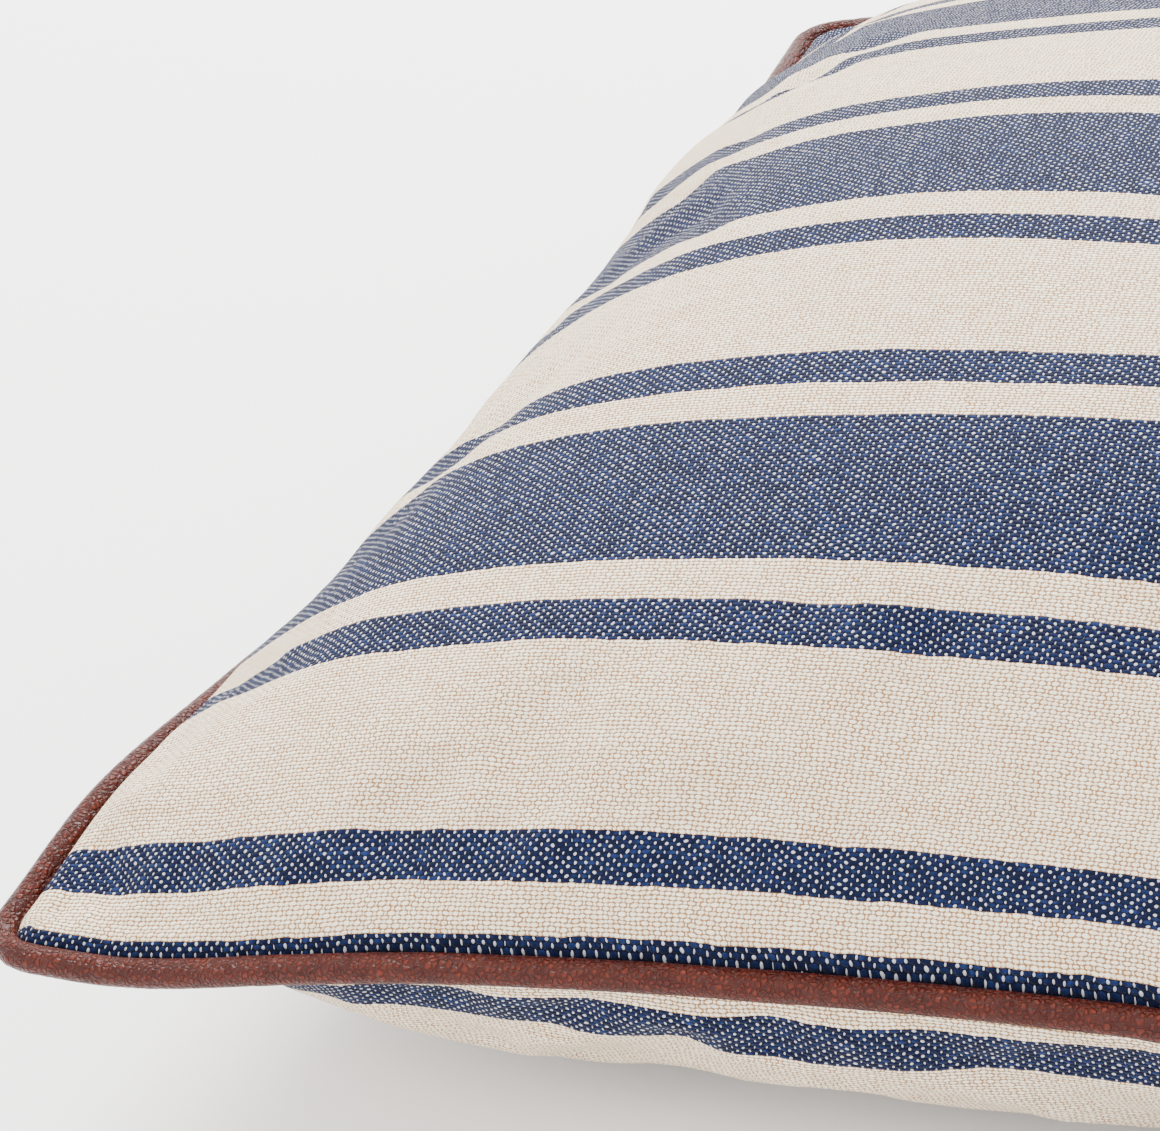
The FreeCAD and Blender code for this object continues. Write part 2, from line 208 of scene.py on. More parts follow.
def pillow_surface(u, v, side):
    """Points of one panel over a grid of flat cloth places; side is 1 for the front, -1 for the back."""
    height = (CROWN if side > 0 else BELLY) - PLY - RIDGE
    powers = FRONT_POWER if side > 0 else BACK_POWER
    fullness = FRONT_FULLNESS if side > 0 else BACK_FULLNESS
    gu = rise(u, powers[0], fullness[0])
    gv = rise(v, powers[1], fullness[1])
    across = run_along(u, powers[0], fullness[0], height * gv).T
    along = run_along(v, powers[1], fullness[1], height * gu)
    half_x = HALF - PULL_IN + PULL_IN * np.abs(v) ** PULL_POWER
    half_near = HALF - PULL_IN + PULL_IN * np.abs(u) ** PULL_POWER
    half_far = HALF - ZIP_PULL_IN + ZIP_PULL_IN * smoothstep(SLOT_HALF / HALF, 1.0, np.abs(u))
    x = across * half_x[None, :]
    y = along * np.where(along < 0, half_near[:, None], half_far[:, None])
    corner = HALF - CORNER_R
    dx = np.maximum(np.abs(x) - corner, 0)
    dy = np.maximum(np.abs(y) - corner, 0)
    inside = (dx > 0) & (dy > 0)
    share = np.where(inside, np.maximum(dx, dy) / np.maximum(np.hypot(dx, dy), 1e-12), 1.0)
    x = np.where(inside, np.sign(x) * (corner + dx * share), x)
    y = np.where(inside, np.sign(y) * (corner + dy * share), y)
    lift = sag(u, v)
    if side < 0:
        lift = lift * (1 - smoothstep(0.0, 0.25, gu[:, None] * gv[None, :]))
    edge = (1 - np.maximum(np.abs(u)[:, None], np.abs(v)[None, :])) * SIDE / 2
    ridge = RIDGE * (1 - np.exp(-edge / RIDGE_REACH))
    z = SEAM_Z + side * (PLY + ridge + height * gu[:, None] * gv[None, :]) + lift
    return np.stack([x, y, z], -1)


def zip_wall(points, v):
    """Bends the back panel by the zip onto the plane that the tapes lie in."""
    x = points[..., 0]
    deep = np.broadcast_to((1 - v)[None, :] * SIDE / 2, x.shape)
    plane = np.stack([
        x,
        HALF - ZIP_PULL_IN + deep * ZIP_DOWN.y,
        SEAM_Z - PLY + deep * ZIP_DOWN.z], -1)
    share = (1 - smoothstep(11 * MM, 42 * MM, deep)) * (1 - smoothstep(SLOT_HALF, 205 * MM, np.abs(x)))
    return points + (plane - points) * share[..., None]


def grid_lines(extra=()):
    """Cloth places from -1 to 1, closer together near the seams."""
    lines = np.sin(np.linspace(-1, 1, GRID) * math.pi / 2)
    for value in extra:
        lines[np.argmin(np.abs(lines - value))] = value
    return lines


def trimmed(places):
    """Share of the turned-in edge that is left, by distance from the nearest corner."""
    apart = np.hypot(HALF - np.abs(places[:, 0]), HALF - np.abs(places[:, 1]))
    return 0.12 + 0.88 * smoothstep(14 * MM, 55 * MM, apart)


def grid_quads(count, start=0, turned=False, keep=None):
    quads = []
    for i in range(count - 1):
        for j in range(count - 1):
            if keep is not None and not keep[i, j]:
                continue
            quad = (i * count + j, (i + 1) * count + j, (i + 1) * count + j + 1, i * count + j + 1)
            quad = tuple(start + k for k in quad)
            quads.append(quad[::-1] if turned else quad)
    return quads


def border(count):
    """Grid places round the edge, in order."""
    last = count - 1
    return ([(i, 0) for i in range(last)] + [(last, j) for j in range(last)]
            + [(last - i, last) for i in range(last)] + [(0, last - j) for j in range(last)])


def cover_half(name, points, uvs, side, keep=None):
    """Cloth of one panel, with its allowance turned in behind the seam."""
    count = len(points)
    flat = points.reshape(-1, 3)
    faces = grid_quads(count, keep=keep)
    edge = [i * count + j for i, j in border(count)]
    rings = [edge]
    extra, extra_uv = [], []
    flat_uv = uvs.reshape(-1, 2)
    start = len(flat)
    left = trimmed(flat[edge])
    for inwards in (0.4 * MM, ALLOWANCE / 2, ALLOWANCE):
        ring = []
        for at, share in zip(edge, left):
            p = flat[at].copy()
            p[:2] *= 1 - inwards * share / HALF
            ring.append(start + len(extra))
            extra.append(p)
            extra_uv.append(0.5 + (flat_uv[at] - 0.5) * (1 + inwards / HALF))
        rings.append(ring)
    open_zip = keep is not None
    for outer, inner in zip(rings, rings[1:]):
        for k in range(len(edge)):
            m = (k + 1) % len(edge)
            middle = (flat[edge[k]] + flat[edge[m]]) / 2
            if open_zip and middle[1] > HALF - 15 * MM and abs(middle[0]) < SLOT_HALF:
                continue
            faces.append((outer[m], outer[k], inner[k], inner[m]))
    if side < 0:
        faces = [f[::-1] for f in faces]
    points_all = np.vstack([flat, np.array(extra)])
    uv_all = np.vstack([flat_uv, np.array(extra_uv)])
    return mesh_object(name, points_all, faces, uv_all)


def blurred(field, rounds):
    """Field of vectors over a grid, averaged with its neighbours again and again."""
    for _ in range(rounds):
        wide = np.pad(field, ((1, 1), (1, 1), (0, 0)), mode="edge")
        field = (wide[:-2, 1:-1] + wide[2:, 1:-1] + wide[1:-1, :-2] + wide[1:-1, 2:] + 2 * field) / 6
    return field


def settle():
    """Cloth simulation of the filled cover. Returns the small creases it adds to each panel."""
    count = SETTLE_GRID
    lines = np.sin(np.linspace(-1, 1, count) * math.pi / 2)
    halves = [pillow_surface(lines, lines, side) for side in (1, -1)]
    size = count * count
    edge = [i * count + j for i, j in border(count)]
    on_edge = set(edge)
    place = [k if k in on_edge else size + k for k in range(size)]
    used = list(range(size)) + [size + k for k in range(size) if k not in on_edge]
    number = {k: n for n, k in enumerate(used)}
    start = np.vstack([half.reshape(-1, 3) for half in halves])
    faces = grid_quads(count)
    faces += [tuple(number[place[k]] for k in quad) for quad in grid_quads(count, 0, True)]
    work = mesh_object("settling", start[used], faces)
    low = SEAM_Z - BELLY * SETTLE_HELD_DEPTH
    held = list(edge)
    by_zip = HALF - SETTLE_ZIP_HELD
    held += [number[k] for k in used if k >= size and (start[k, 2] < low or start[k, 1] > by_zip)]
    group = work.vertex_groups.new(name="held")
    group.add(held, 1.0, "REPLACE")
    cloth = work.modifiers.new("cloth", "CLOTH")
    for name, value in CLOTH_SETTINGS.items():
        setattr(cloth.settings, name, value)
    cloth.settings.effector_weights.gravity = 0.0
    scene = bpy.context.scene
    for step in range(1, SETTLE_FRAMES + 1):
        scene.frame_set(step)
    result = work.evaluated_get(bpy.context.evaluated_depsgraph_get())
    moved = np.zeros(len(used) * 3)
    result.data.vertices.foreach_get("co", moved)
    scene.frame_set(1)
    change = np.zeros((2 * size, 3))
    change[used] = moved.reshape(-1, 3) - start[used]
    bpy.data.objects.remove(work)
    change = change.reshape(2, count, count, 3)
    creases = []
    for field in change:
        local = field - blurred(field, CREASE_ROUNDS)
        length = np.linalg.norm(local, axis=2, keepdims=True)
        local *= np.minimum(1.0, CREASE_CAP / np.maximum(length, 1e-9))
        inward = 1 - np.maximum(np.abs(lines)[:, None], np.abs(lines)[None, :])
        fade = smoothstep(0.0, CREASE_FADE, inward)
        creases.append(local * fade[..., None])
    return np.array(creases)


def creased(points, u, v, creases):
    """Adds the simulated creases to a finer grid of the same panel."""
    count = len(creases)
    across = blend_weights((np.arcsin(u) * 2 / math.pi + 1) / 2 * (count - 1), count)
    along = blend_weights((np.arcsin(v) * 2 / math.pi + 1) / 2 * (count - 1), count)
    return points + np.einsum("ia,abk,jb->ijk", across, creases, along)


def front_cloth(creases):
    lines = grid_lines()
    points = creased(pillow_surface(lines, lines, 1), lines, lines, creases)
    uu, vv = np.meshgrid(lines, lines, indexing="ij")
    return cover_half("front_cover", points, np.stack([(uu + 1) / 2, (vv + 1) / 2], -1), 1)


def back_cloth(creases):
    """Back panel with the zip's slot left open."""
    u_slot = SLOT_HALF / (HALF - ZIP_PULL_IN)
    v_slot = 1 - SLOT_DEEP / (SIDE / 2)
    u = grid_lines((-u_slot, u_slot))
    v = grid_lines((v_slot,))
    points = creased(pillow_surface(u, v, -1), u, v, creases)
    points[..., 2] = np.maximum(points[..., 2], 0.0)
    points = zip_wall(points, v)
    uu, vv = np.meshgrid(u, v, indexing="ij")
    mid_x = (points[:-1, :-1, 0] + points[1:, 1:, 0]) / 2
    keep = ~((np.abs(mid_x) < SLOT_HALF) & (((v[:-1] + v[1:]) / 2)[None, :] > v_slot))
    return cover_half("back_cover", points, np.stack([(uu + 1) / 2, (vv + 1) / 2], -1), -1, keep)


def inner_grid(side, shares):
    """One half of the insert: the cover's own shape, made smaller."""
    across, up = shares
    lines = grid_lines()[::3]
    points = pillow_surface(lines, lines, side)
    points[..., :2] *= across
    points[..., 2] = SEAM_Z + (points[..., 2] - SEAM_Z) * up
    for i, j in border(len(lines)):
        points[i, j, 2] = SEAM_Z
    return points


def insert_casing(name, side):
    """One half of the casing, with the thickness of its cotton."""
    outer = inner_grid(side, CASING_OUTER)
    inner = inner_grid(side, CASING_INNER)
    count = len(outer)
    size = count * count
    faces = grid_quads(count, 0, side < 0) + grid_quads(count, size, side > 0)
    edge = [i * count + j for i, j in border(count)]
    for k, at in enumerate(edge):
        nxt = edge[(k + 1) % len(edge)]
        quad = (nxt, at, at + size, nxt + size)
        faces.append(quad if side > 0 else quad[::-1])
    return mesh_object(name, np.vstack([outer.reshape(-1, 3), inner.reshape(-1, 3)]), faces)


def fill_body():
    """The filling as one closed form, its two halves sharing their edge."""
    top = inner_grid(1, FILLING)
    bottom = inner_grid(-1, FILLING)
    count = len(top)
    size = count * count
    on_edge = {i * count + j for i, j in border(count)}
    place = {size + k: (k if k in on_edge else size + k) for k in range(size)}
    faces = grid_quads(count)
    faces += [tuple(place[k] for k in quad) for quad in grid_quads(count, size, True)]
    points = np.vstack([top.reshape(-1, 3), bottom.reshape(-1, 3)])
    used = sorted({k for face in faces for k in face})
    number = {k: n for n, k in enumerate(used)}
    return mesh_object("fibre_fill", points[used], [tuple(number[k] for k in face) for face in faces])


# ---- camera, light and floor -------------------------------------------------------------------

CAMERA_AT = (0.18186, -0.72125, 0.42563)    # from the middle of the seam plane
CAMERA_YAW = -0.5179
CAMERA_PITCH = 0.5278
CAMERA_ROLL = -0.1768
CAMERA_F = 3473.5 / 1160.0                  # focal length over the image's width
SENSOR = 36.0
WORLD_STRENGTH = 2.6
FLOOR_HALF = 6.0
FLOOR_TONE = 0.96


def add_camera():
    cy, sy = math.cos(CAMERA_YAW), math.sin(CAMERA_YAW)
    cp, sp = math.cos(CAMERA_PITCH), math.sin(CAMERA_PITCH)
    ahead = Vector((sy * cp, cy * cp, -sp))
    right = Vector((cy, -sy, 0.0))
    up = right.cross(ahead)
    cr, sr = math.cos(CAMERA_ROLL), math.sin(CAMERA_ROLL)
    right, up = right * cr + up * sr, up * cr - right * sr
    data = bpy.data.cameras.new("camera")
    data.sensor_width = SENSOR
    data.lens = SENSOR * CAMERA_F
    data.clip_start = 0.01
    camera = bpy.data.objects.new("camera", data)
    camera.matrix_world = Matrix((
        (right.x, up.x, -ahead.x, CAMERA_AT[0]),
        (right.y, up.y, -ahead.y, CAMERA_AT[1]),
        (right.z, up.z, -ahead.z, CAMERA_AT[2] + SEAM_Z),
        (0.0, 0.0, 0.0, 1.0)))
    bpy.context.scene.collection.objects.link(camera)
    bpy.context.scene.camera = camera


def add_area(name, at, target, size, power, colour):
    data = bpy.data.lights.new(name, "AREA")
    data.shape = "RECTANGLE"
    data.size, data.size_y = size
    data.energy = power
    data.color = colour
    light = bpy.data.objects.new(name, data)
    light.location = at
    light.rotation_euler = (Vector(target) - Vector(at)).to_track_quat("-Z", "Y").to_euler()
    bpy.context.scene.collection.objects.link(light)


def add_studio():
    world = bpy.data.worlds.new("studio")
    bpy.context.scene.world = world
    world.use_nodes = True
    background = world.node_tree.nodes["Background"]
    background.inputs["Color"].default_value = (1.0, 1.0, 1.0, 1.0)
    background.inputs["Strength"].default_value = WORLD_STRENGTH
    add_area("key", (-0.5, 1.3, 1.5), (0.0, 0.0, 0.08), (1.2, 1.2), 120.0, (1.0, 0.99, 0.97))
    add_area("fill", (-0.9, -1.2, 0.9), (0.0, 0.0, 0.05), (1.5, 1.0), 8.0, (1.0, 0.94, 0.86))
    mesh = bpy.data.meshes.new("floor")
    corners = [(x * FLOOR_HALF, y * FLOOR_HALF, 0) for x, y in ((-1, -1), (1, -1), (1, 1), (-1, 1))]
    mesh.from_pydata(corners, [], [(0, 1, 2, 3)])
    floor = bpy.data.objects.new("floor", mesh)
    bpy.context.scene.collection.objects.link(floor)
    floor.data.materials.append(plain_material("floor", (FLOOR_TONE,) * 3, 0.9))


# ---- materials ---------------------------------------------------------------------------------


class Graph:
    """A material's nodes, with short calls for the ones that are used most."""

    def __init__(self, name):
        self.material = bpy.data.materials.new(name)
        self.material.use_nodes = True
        self.nodes = self.material.node_tree.nodes
        self.links = self.material.node_tree.links
        self.shader = self.nodes["Principled BSDF"]

    def put(self, socket, value):
        if isinstance(value, bpy.types.NodeSocket):
            self.links.new(value, socket)
        else:
            socket.default_value = value

    def node(self, kind, **inputs):
        node = self.nodes.new(kind)
        for name, value in inputs.items():
            self.put(node.inputs[name.replace("_", " ")], value)
        return node

    def math(self, operation, a, b=None):
        node = self.nodes.new("ShaderNodeMath")
        node.operation = operation
        for socket, value in zip(node.inputs, (a, b)):
            if value is not None:
                self.put(socket, value)
        return node.outputs[0]

    def add(self, a, b):
        return self.math("ADD", a, b)

    def mul(self, a, b):
        return self.math("MULTIPLY", a, b)

    def vector(self, x, y, z=0.0):
        return self.node("ShaderNodeCombineXYZ", X=x, Y=y, Z=z).outputs[0]

    def noise(self, vector, scale=1.0, detail=2.0, rough=0.5):
        return self.node("ShaderNodeTexNoise", Vector=vector, Scale=scale, Detail=detail,
                         Roughness=rough).outputs["Fac"]

    def step(self, x, low, high):
        node = self.nodes.new("ShaderNodeMapRange")
        node.interpolation_type = "SMOOTHSTEP"
        for name, value in (("Value", x), ("From Min", low), ("From Max", high)):
            self.put(node.inputs[name], value)
        return node.outputs[0]

    def mix(self, share, a, b):
        node = self.nodes.new("ShaderNodeMix")
        node.data_type = "RGBA"
        for socket, value in ((node.inputs[0], share), (node.inputs[6], a), (node.inputs[7], b)):
            self.put(socket, value)
        return node.outputs[2]

    def bump(self, height, distance, strength):
        return self.node("ShaderNodeBump", Height=height, Distance=distance, Strength=strength).outputs[0]


def srgb(r, g, b):
    def linear(c):
        c /= 255.0
        return c / 12.92 if c <= 0.04045 else ((c + 0.055) / 1.055) ** 2.4
    return (linear(r), linear(g), linear(b), 1.0)


def plain_material(name, colour, rough):
    g = Graph(name)
    g.put(g.shader.inputs["Base Color"], (*colour, 1.0))
    g.put(g.shader.inputs["Roughness"], rough)
    return g.material


NAVY_DEEP = srgb(7, 14, 42)
NAVY_PALE = srgb(32, 50, 98)
# Blue-grey painted onto the cream cross yarns in blue rows: painted shade and a painted blue cast from the
# navy yarns around them.
DOT_PAINTED_SHADE = srgb(120, 142, 190)
CREAM_PALE = srgb(252, 240, 217)
CREAM_DEEP = srgb(236, 216, 184)
# Painted shade deep in the gaps between yarns, for cream cloth and for navy cloth.
GAP_SHADE_CREAM = srgb(150, 106, 66)
GAP_SHADE_NAVY = srgb(7, 12, 34)


def woven_stripe(name, phase):
    """Plain weave: warp yarns along X dyed in stripes, and cream cross yarns over and under them."""
    g = Graph(name)
    cloth = g.nodes.new("ShaderNodeUVMap")
    cloth.uv_map = "cloth"
    place = g.node("ShaderNodeSeparateXYZ", Vector=cloth.outputs[0])
    x0 = g.mul(place.outputs[0], CROSS_YARNS)
    y0 = g.mul(place.outputs[1], WARP_YARNS)
    flat = g.vector(x0, y0)
    wander = g.node("ShaderNodeTexNoise", Vector=flat, Scale=0.06, Detail=2.0)
    wander = g.node("ShaderNodeSeparateXYZ", Vector=wander.outputs["Color"])
    shiver = g.node("ShaderNodeTexNoise", Vector=flat, Scale=0.4, Detail=1.0)
    shiver = g.node("ShaderNodeSeparateXYZ", Vector=shiver.outputs["Color"])

    def unsteady(value, axis, far, near):
        far = g.mul(g.add(wander.outputs[axis], -0.5), far)
        return g.add(value, g.add(far, g.mul(g.add(shiver.outputs[axis], -0.5), near)))

    x = unsteady(x0, 0, 2.2, 0.9)
    y = unsteady(y0, 1, 1.6, 0.8)
    column = g.math("FLOOR", x)
    row = g.math("FLOOR", y)
    fx = g.add(g.math("FRACT", x), -0.5)
    fy = g.add(g.math("FRACT", y), -0.5)

    turn = g.math("FLOORED_MODULO", g.add(row, phase), REPEAT)
    blue = None
    for low, high in BLUE_BANDS:
        band = g.mul(g.math("GREATER_THAN", turn, low - 0.5), g.math("LESS_THAN", turn, high - 0.5))
        blue = band if blue is None else g.add(blue, band)

    warp_run = g.noise(g.vector(g.mul(x, 0.09), g.mul(row, 3.7)), 1.0, 3.0, 0.6)
    cross_run = g.noise(g.vector(g.mul(column, 3.1), g.mul(y, 0.09), 9.0), 1.0, 3.0, 0.6)
    knot = g.nodes.new("ShaderNodeTexWhiteNoise")
    g.put(knot.inputs["Vector"], g.vector(column, row))
    lot = knot.outputs["Value"]
    odd = g.math("FLOORED_MODULO", g.add(column, row), 2.0)

    def dome(across, along):
        total = g.add(g.mul(across, across), g.mul(along, along))
        return g.math("SQRT", g.math("MAXIMUM", g.math("SUBTRACT", 1.0, total), 0.0))

    side = g.math("ABSOLUTE", fx)
    reach = g.add(side, g.mul(odd, g.add(1.0, g.mul(side, -2.0))))
    warp_half = g.add(0.50, g.mul(g.add(warp_run, -0.5), 0.34))
    uneven = g.add(g.mul(g.add(cross_run, -0.5), 0.5), g.mul(g.add(lot, -0.5), 0.16))
    cross_half = g.add(g.add(0.36, g.mul(blue, -0.13)), uneven)
    warp_long = g.add(0.66, g.mul(blue, 0.12))
    cross_long = g.add(0.46, g.mul(blue, -0.05))
    warp_height = dome(g.math("DIVIDE", reach, warp_long), g.math("DIVIDE", fy, warp_half))
    cross_height = dome(g.math("DIVIDE", fx, cross_half), g.math("DIVIDE", fy, cross_long))
    cross_height = g.mul(cross_height, odd)
    cross_over = g.step(cross_height, 0.02, 0.30)
    top = g.math("MAXIMUM", warp_height, cross_height)

    fibre = g.noise(flat, 4.0, 3.0, 0.75)
    heather = g.noise(g.vector(g.mul(x, 0.35), g.mul(row, 2.3), 4.0), 1.0, 3.0, 0.65)
    heather = g.add(heather, g.mul(g.add(fibre, -0.5), 0.55))
    navy = g.mix(g.step(heather, 0.40, 0.80), NAVY_DEEP, NAVY_PALE)
    warm = g.noise(g.vector(g.mul(x, 0.2), g.mul(row, 1.9), 17.0), 1.0, 2.0, 0.6)
    cream = g.mix(g.step(warm, 0.35, 0.7), CREAM_PALE, CREAM_DEEP)
    warp_colour = g.mix(blue, cream, navy)
    cross_tone = g.noise(g.vector(g.mul(column, 1.7), g.mul(y, 0.3), 23.0), 1.0, 2.0, 0.6)
    cross_colour = g.mix(g.step(cross_tone, 0.35, 0.7), CREAM_PALE, CREAM_DEEP)
    # Painted shade: in blue rows the cream cross yarns are darkened and tinted blue, as if shaded by the
    # navy yarns around them.
    cross_colour = g.mix(g.mul(blue, 0.55), cross_colour, DOT_PAINTED_SHADE)
    yarn = g.mix(cross_over, warp_colour, cross_colour)
    speck = g.step(g.noise(g.vector(g.mul(x, 0.5), g.mul(y, 0.9), 31.0), 1.0, 1.0, 0.5), 0.80, 0.84)
    yarn = g.mix(g.mul(speck, 0.5), yarn, srgb(196, 140, 92))
    # Painted shade: where the weave is low, on the yarns' sides and in the gaps between them, the colour
    # goes towards the dark gap colour.
    gap = g.mix(blue, GAP_SHADE_CREAM, GAP_SHADE_NAVY)
    shade = g.step(g.add(top, g.mul(g.add(fibre, -0.5), 0.3)), 0.10, 0.62)
    colour = g.mix(shade, gap, yarn)
    g.put(g.shader.inputs["Base Color"], colour)
    g.put(g.shader.inputs["Roughness"], 0.88)
    g.put(g.shader.inputs["Specular IOR Level"], 0.12)
    g.put(g.shader.inputs["Sheen Weight"], 0.06)
    g.put(g.shader.inputs["Sheen Roughness"], 0.4)
    height = g.add(top, g.mul(g.add(fibre, -0.5), 0.35))
    g.put(g.shader.inputs["Normal"], g.bump(height, 0.00042, 0.85))
    return g.material


def piping_leather():
    """Red-brown leather with a pebbled grain and fine cross creases."""
    g = Graph("piping_leather")
    place = g.nodes.new("ShaderNodeTexCoord").outputs["Object"]
    bend = g.node("ShaderNodeTexNoise", Vector=place, Scale=500.0, Detail=2.0)
    stirred = g.nodes.new("ShaderNodeVectorMath")
    stirred.operation = "MULTIPLY_ADD"
    g.put(stirred.inputs[0], bend.outputs["Color"])
    stirred.inputs[1].default_value = (0.0012, 0.0012, 0.0012)
    g.put(stirred.inputs[2], place)
    pebble = g.node("ShaderNodeTexVoronoi", Vector=stirred.outputs[0], Scale=760.0)
    pebble.feature = "DISTANCE_TO_EDGE"
    grain = g.step(pebble.outputs["Distance"], 0.0, 0.30)
    tone = g.noise(place, 260.0, 4.0, 0.6)
    fine = g.noise(place, 3200.0, 3.0, 0.6)
    crease = g.noise(place, 420.0, 3.0, 0.55)
    base = g.mix(g.step(tone, 0.3, 0.7), srgb(68, 17, 7), srgb(90, 29, 13))
    base = g.mix(g.add(0.35, g.mul(grain, 0.65)), srgb(34, 8, 4), base)
    g.put(g.shader.inputs["Base Color"], base)
    g.put(g.shader.inputs["Roughness"], g.add(0.27, g.mul(fine, 0.16)))
    g.put(g.shader.inputs["Specular IOR Level"], 0.2)
    height = g.add(grain, g.add(g.mul(crease, 1.4), g.mul(fine, 0.25)))
    g.put(g.shader.inputs["Normal"], g.bump(height, 0.00045, 0.9))
    return g.material


def brushed_brass():
    """Brass of the zip's metal parts, unevenly tarnished."""
    g = Graph("zip_metal")
    place = g.nodes.new("ShaderNodeTexCoord").outputs["Object"]
    tarnish = g.noise(place, 1800.0, 4.0, 0.6)
    base = g.mix(g.step(tarnish, 0.35, 0.7), srgb(150, 122, 78), srgb(112, 88, 54))
    g.put(g.shader.inputs["Base Color"], base)
    g.put(g.shader.inputs["Metallic"], 1.0)
    g.put(g.shader.inputs["Roughness"], g.add(0.28, g.mul(tarnish, 0.25)))
    g.put(g.shader.inputs["Normal"], g.bump(tarnish, 0.00004, 0.5))
    return g.material


def zip_tape():
    """Woven tape with slanting ribs."""
    g = Graph("zip_tape")
    place = g.nodes.new("ShaderNodeTexCoord").outputs["Object"]
    parts = g.node("ShaderNodeSeparateXYZ", Vector=place)
    rib = g.math("SINE", g.mul(g.add(parts.outputs[0], g.mul(parts.outputs[2], 1.2)), 2 * math.pi / 0.0011))
    cross = g.math("SINE", g.mul(parts.outputs[2], 2 * math.pi / 0.0006))
    height = g.add(g.mul(rib, 0.5), g.mul(cross, 0.3))
    tone = g.noise(place, 500.0, 3.0)
    base = g.mix(tone, srgb(226, 216, 198), srgb(202, 190, 170))
    # Painted shade: the grooves between the ribs are darkened.
    g.put(g.shader.inputs["Base Color"], g.mix(g.step(height, -0.8, 0.2), srgb(150, 138, 120), base))
    g.put(g.shader.inputs["Roughness"], 0.85)
    g.put(g.shader.inputs["Sheen Weight"], 0.2)
    g.put(g.shader.inputs["Normal"], g.bump(height, 0.0002, 0.6))
    return g.material


def coil_nylon():
    g = Graph("zip_coil")
    place = g.nodes.new("ShaderNodeTexCoord").outputs["Object"]
    tone = g.noise(place, 900.0, 2.0)
    g.put(g.shader.inputs["Base Color"], g.mix(tone, srgb(224, 214, 196), srgb(206, 194, 174)))
    g.put(g.shader.inputs["Roughness"], 0.38)
    g.put(g.shader.inputs["Normal"], g.bump(tone, 0.00003, 0.4))
    return g.material


def soft_cotton(name, light, dark):
    g = Graph(name)
    place = g.nodes.new("ShaderNodeTexCoord").outputs["Object"]
    tone = g.noise(place, 800.0, 4.0, 0.6)
    g.put(g.shader.inputs["Base Color"], g.mix(tone, light, dark))
    g.put(g.shader.inputs["Roughness"], 0.9)
    g.put(g.shader.inputs["Sheen Weight"], 0.2)
    g.put(g.shader.inputs["Normal"], g.bump(tone, 0.0002, 0.5))
    return g.material


# ---- piping ------------------------------------------------------------------------------------


def seam_line():
    """Closed line of the seam: places, the outward direction in plan at each, and the length run."""
    t = np.linspace(-1, 1, 801)
    ends = np.array([-1.0, 1.0])
    near_far = pillow_surface(t, ends, 1)
    left_right = pillow_surface(ends, t, 1)
    near, far = near_far[:-1, 0], near_far[::-1, 1][:-1]
    left, right = left_right[0, ::-1][:-1], left_right[1, :-1]
    loop = np.vstack([near, right, far, left])
    loop[:, 2] -= PLY
    loop = loop[np.linalg.norm(np.roll(loop, -1, 0) - loop, axis=1) > 1e-6]
    closed = np.vstack([loop, loop[:1]])
    length = np.concatenate([[0], np.cumsum(np.linalg.norm(np.diff(closed, axis=0), axis=1))])
    s = np.linspace(0, length[-1], PIPE_STEPS, endpoint=False)
    line = np.stack([np.interp(s, length, closed[:, k]) for k in range(3)], -1)
    for _ in range(14):
        line = (np.roll(line, 1, 0) + 2 * line + np.roll(line, -1, 0)) / 4
    along = np.roll(line, -1, 0) - np.roll(line, 1, 0)
    out = np.stack([along[:, 1], -along[:, 0], np.zeros(len(line))], -1)
    out /= np.linalg.norm(out, axis=1)[:, None]
    return line, out, s


def sweep(name, line, out, section, closed=True):
    """Tube along the seam; section holds (outwards, up) for each step, or one list for all of them."""
    section = np.asarray(section)
    if section.ndim == 2:
        section = np.broadcast_to(section, (len(line),) + section.shape)
    count, width = section.shape[:2]
    up = np.array([0.0, 0.0, 1.0])
    points = line[:, None, :] + out[:, None, :] * section[..., 0:1] + up * section[..., 1:2]
    faces = []
    for i in range(count if closed else count - 1):
        k = (i + 1) % count
        for j in range(width):
            m = (j + 1) % width
            faces.append((i * width + j, k * width + j, k * width + m, i * width + m))
    if not closed:
        faces.append(tuple(range(width))[::-1])
        faces.append(tuple((count - 1) * width + j for j in range(width)))
    return mesh_object(name, points.reshape(-1, 3), [f[::-1] for f in faces])


def piping():
    """Leather tube with its flange pressed between the panels. It wrinkles across, most at corners."""
    line, out, s = seam_line()
    sides = PIPE_SIDES
    join = math.asin(FLANGE_HALF / PIPE_R)
    angles = np.linspace(-math.pi + join, math.pi - join, sides)
    turn = np.linalg.norm(np.roll(out, -3, 0) - np.roll(out, 3, 0), axis=1)
    corner = np.clip(turn / turn.max(), 0, 1)
    for _ in range(40):
        corner = (np.roll(corner, 1) + corner + np.roll(corner, -1)) / 3
    crease = np.zeros((len(line), sides))
    for i in range(len(line)):
        for j, angle in enumerate(angles):
            around = Vector((math.cos(angle) * 1.3, math.sin(angle) * 1.3, s[i] * 420.0))
            wide = Vector((math.cos(angle) * 0.6, math.sin(angle) * 0.6, s[i] * 60.0))
            slow = noise.noise(wide + Vector((3, 7, 0)))
            crease[i, j] = -abs(noise.noise(around)) * (0.16 + 0.42 * corner[i]) + 0.16 * slow
    radius = PIPE_R + crease * MM
    section = np.zeros((len(line), sides + 2, 2))
    flange = -ALLOWANCE * trimmed(line)
    section[:, 0, 0] = flange
    section[:, 0, 1] = -FLANGE_HALF
    section[:, -1, 0] = flange
    section[:, -1, 1] = FLANGE_HALF
    section[:, 1:-1, 0] = PIPE_OUT + radius * np.cos(angles)
    section[:, 1:-1, 1] = radius * np.sin(angles)
    return sweep("leather_piping", line, out, section)


